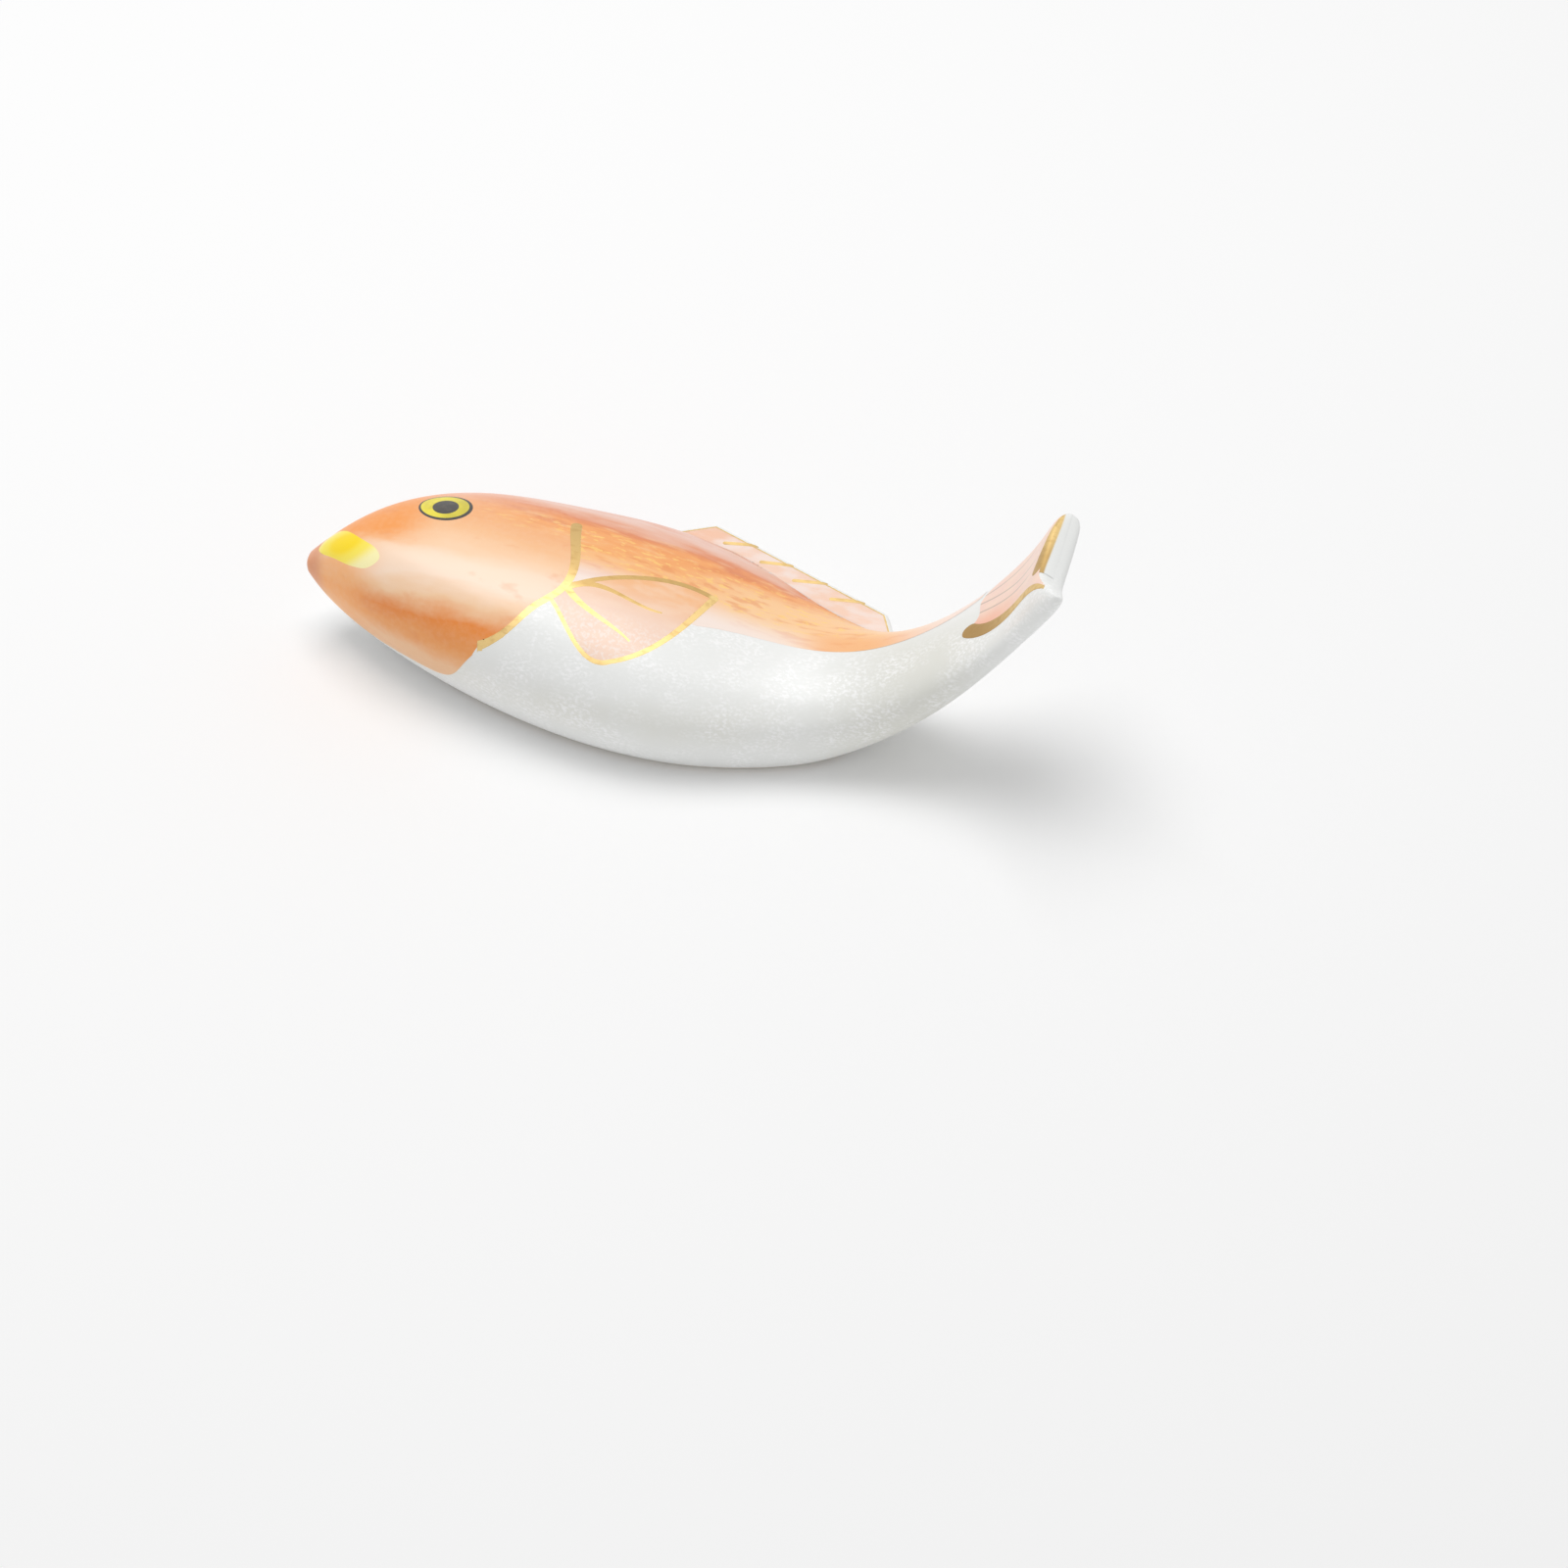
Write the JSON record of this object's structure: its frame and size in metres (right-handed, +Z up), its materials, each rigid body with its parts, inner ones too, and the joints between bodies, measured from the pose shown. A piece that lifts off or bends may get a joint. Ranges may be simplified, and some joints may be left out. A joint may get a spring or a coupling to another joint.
{
  "type": "chopstick rest",
  "caption": "Porcelain fish lying on its flank on a flat bare foot, with a raised forked tail and painted fins; chopsticks lie across the dip ahead of the tail.",
  "frame": {"origin": "Middle of the foot, on the plane of the foot", "axes": "+X along the fish from mouth to tail, +Y from belly to back, +Z up from the foot"},
  "size_m": [0.0715, 0.0263, 0.0268],
  "materials": {
    "porcelain": "glossy clear glaze, bare cream clay on the foot",
    "orange_enamel": "glossy overglaze wash, brushed",
    "yellow_enamel": "glossy overglaze enamel",
    "black_enamel": "glossy overglaze enamel",
    "pink_enamel": "glossy thin overglaze wash",
    "gilding": "burnished bright gold, brushed"
  },
  "bodies": {
    "root": {"fish_body": "porcelain", "tail_fin": "porcelain", "dorsal_fin": "porcelain", "head_enamel": "orange_enamel", "back_enamel": "orange_enamel", "snout_enamel": "yellow_enamel", "eye_iris": "yellow_enamel", "eye_outline": "black_enamel", "eye_pupil": "black_enamel", "pectoral_fin_enamel": "pink_enamel", "dorsal_fin_enamel": "pink_enamel", "tail_fin_enamel": "pink_enamel", "gill_gilding": "gilding", "pectoral_fin_gilding": "gilding", "dorsal_fin_gilding": "gilding", "tail_edge_gilding": "gilding", "tail_lobe_gilding": "gilding"}
  },
  "joints": []
}
